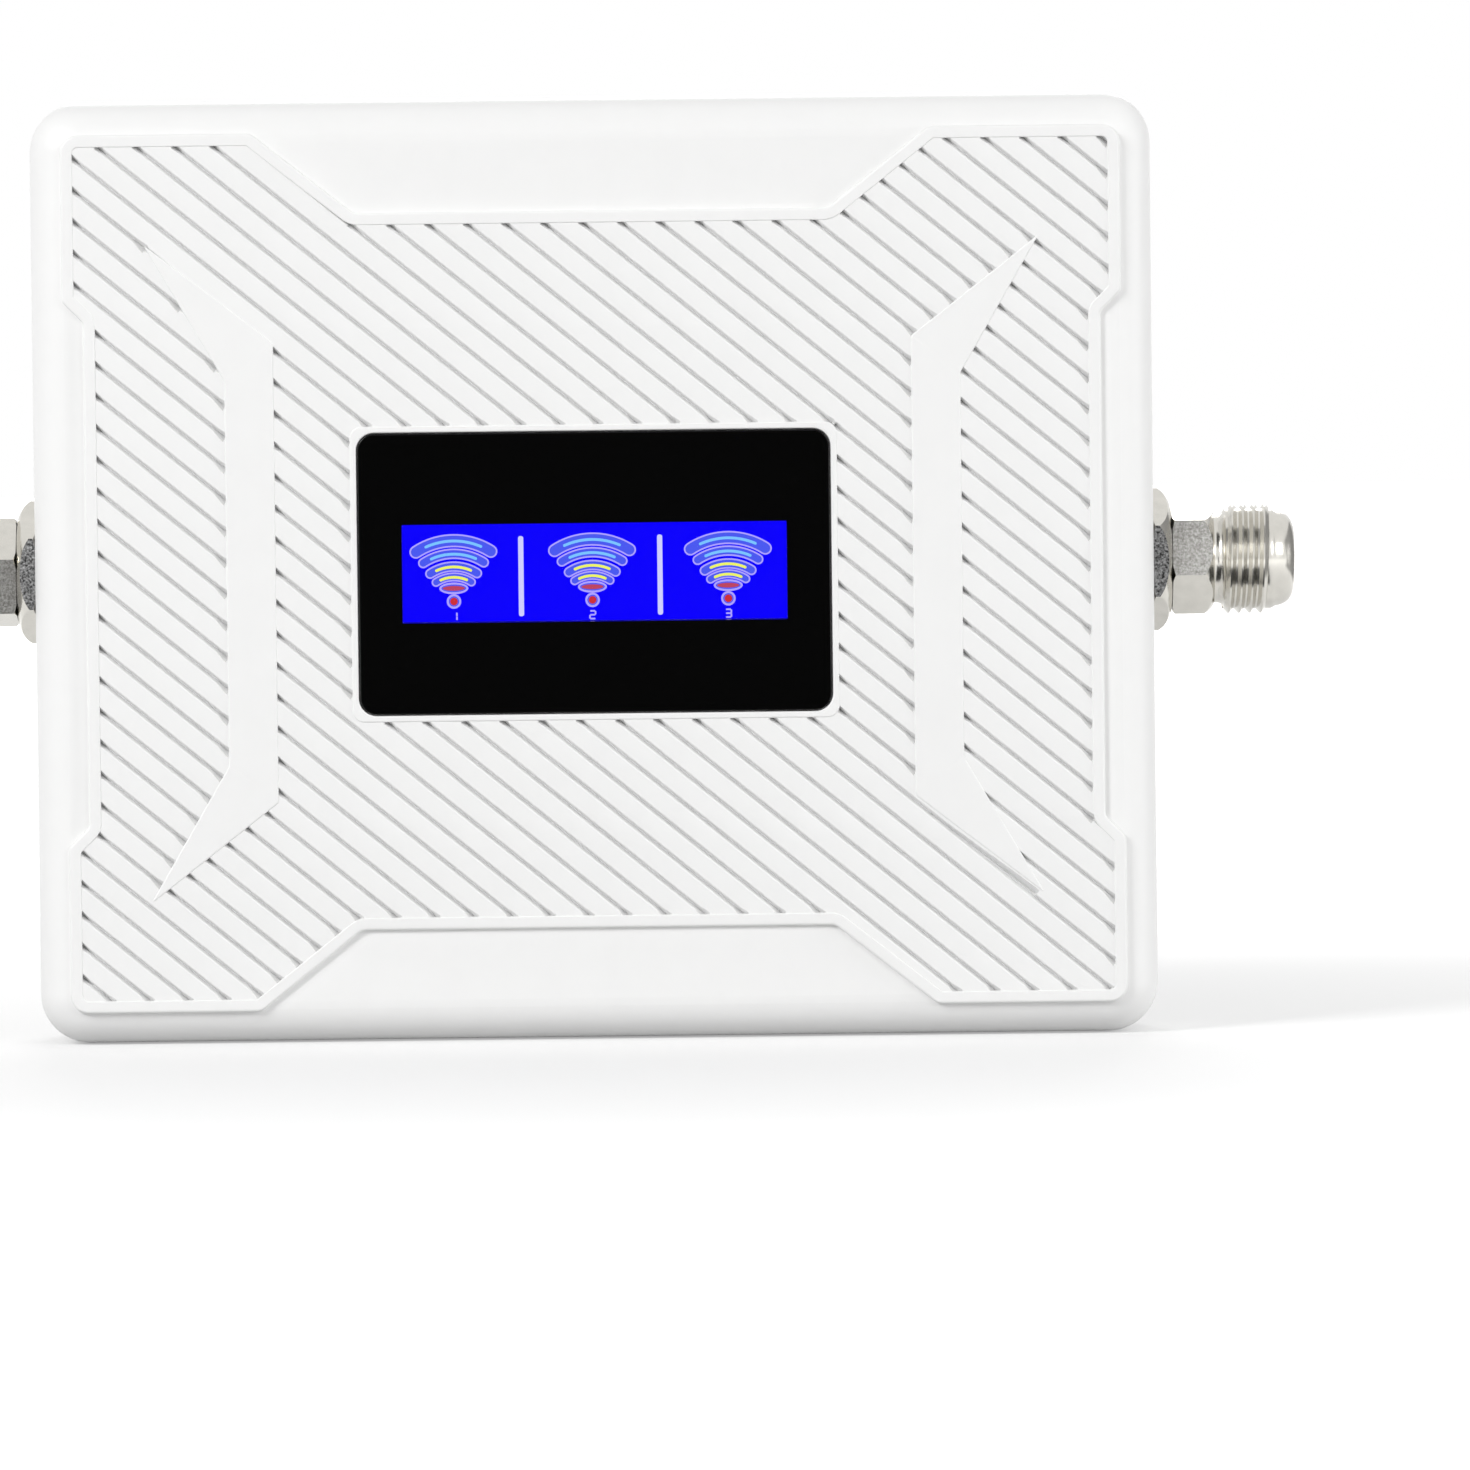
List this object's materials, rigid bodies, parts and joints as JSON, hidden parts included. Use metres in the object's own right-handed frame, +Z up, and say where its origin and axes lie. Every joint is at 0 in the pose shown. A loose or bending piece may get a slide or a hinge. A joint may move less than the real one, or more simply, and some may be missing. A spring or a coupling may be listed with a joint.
{
  "type": "cellular signal booster",
  "caption": "Wall-hung cellular signal booster: white box with a louvred front, a dark display window, and a threaded coaxial port on each side.",
  "frame": {"origin": "centre of the back face, which lies on the wall", "axes": "+Z up, front faces -Y, +X to the right seen from the front"},
  "size_m": [0.2034, 0.0289, 0.136],
  "materials": {
    "white_shell": "moulded white ABS, fine satin",
    "black_pane": "clear acrylic printed black behind, polished",
    "blue_lcd": "blue negative liquid crystal cell, lit from behind",
    "backlight": "white light guide",
    "black_steel": "black passivated sheet steel",
    "circuit_board": "glass epoxy board with green solder mask",
    "screw_steel": "zinc-plated steel",
    "spreader_aluminium": "milled aluminium",
    "can_steel": "tinned sheet steel",
    "thermal_pad": "soft silicone pad",
    "ceramic": "fired ceramic",
    "chip_black": "moulded epoxy",
    "inductor_grey": "pressed ferrite powder",
    "capacitor_can": "bare drawn aluminium",
    "jack_black": "moulded black nylon",
    "port_nickel": "nickel-plated brass, bright turned",
    "contact_gold": "gold-plated bronze",
    "insulator_white": "white PTFE"
  },
  "bodies": {
    "root": {"amplifier_chip_1": "chip_black", "amplifier_chip_2": "chip_black", "amplifier_chip_3": "chip_black", "board_screw_1": "screw_steel", "board_screw_2": "screw_steel", "board_screw_3": "screw_steel", "board_screw_4": "screw_steel", "capacitor_1": "capacitor_can", "capacitor_2": "capacitor_can", "capacitor_3": "capacitor_can", "case_screw_1": "screw_steel", "case_screw_2": "screw_steel", "case_screw_3": "screw_steel", "case_screw_4": "screw_steel", "ceramic_filter_1": "ceramic", "ceramic_filter_2": "ceramic", "ceramic_filter_3": "ceramic", "ceramic_filter_4": "ceramic", "ceramic_filter_5": "ceramic", "ceramic_filter_6": "ceramic", "controller_chip": "chip_black", "dc_jack_body": "jack_black", "dc_jack_pin": "screw_steel", "display_header": "jack_black", "display_window": "black_pane", "front_cover": "white_shell", "heat_spreader": "spreader_aluminium", "lcd_backlight": "backlight", "lcd_bezel": "black_steel", "lcd_board": "circuit_board", "lcd_glass": "blue_lcd", "lcd_screw_1": "screw_steel", "lcd_screw_2": "screw_steel", "lcd_screw_3": "screw_steel", "lcd_screw_4": "screw_steel", "left_port_contact": "contact_gold", "left_port_inner_nut": "port_nickel", "left_port_insulator": "insulator_white", "left_port_nut": "port_nickel", "left_port_shell": "port_nickel", "left_port_washer": "screw_steel", "main_board": "circuit_board", "power_inductor_1": "inductor_grey", "power_inductor_2": "inductor_grey", "rear_cover": "white_shell", "right_port_contact": "contact_gold", "right_port_inner_nut": "port_nickel", "right_port_insulator": "insulator_white", "right_port_nut": "port_nickel", "right_port_shell": "port_nickel", "right_port_washer": "screw_steel", "shield_can_1": "can_steel", "shield_can_2": "can_steel", "shield_can_3": "can_steel", "thermal_pad_1": "thermal_pad", "thermal_pad_2": "thermal_pad", "thermal_pad_3": "thermal_pad"}
  },
  "joints": []
}
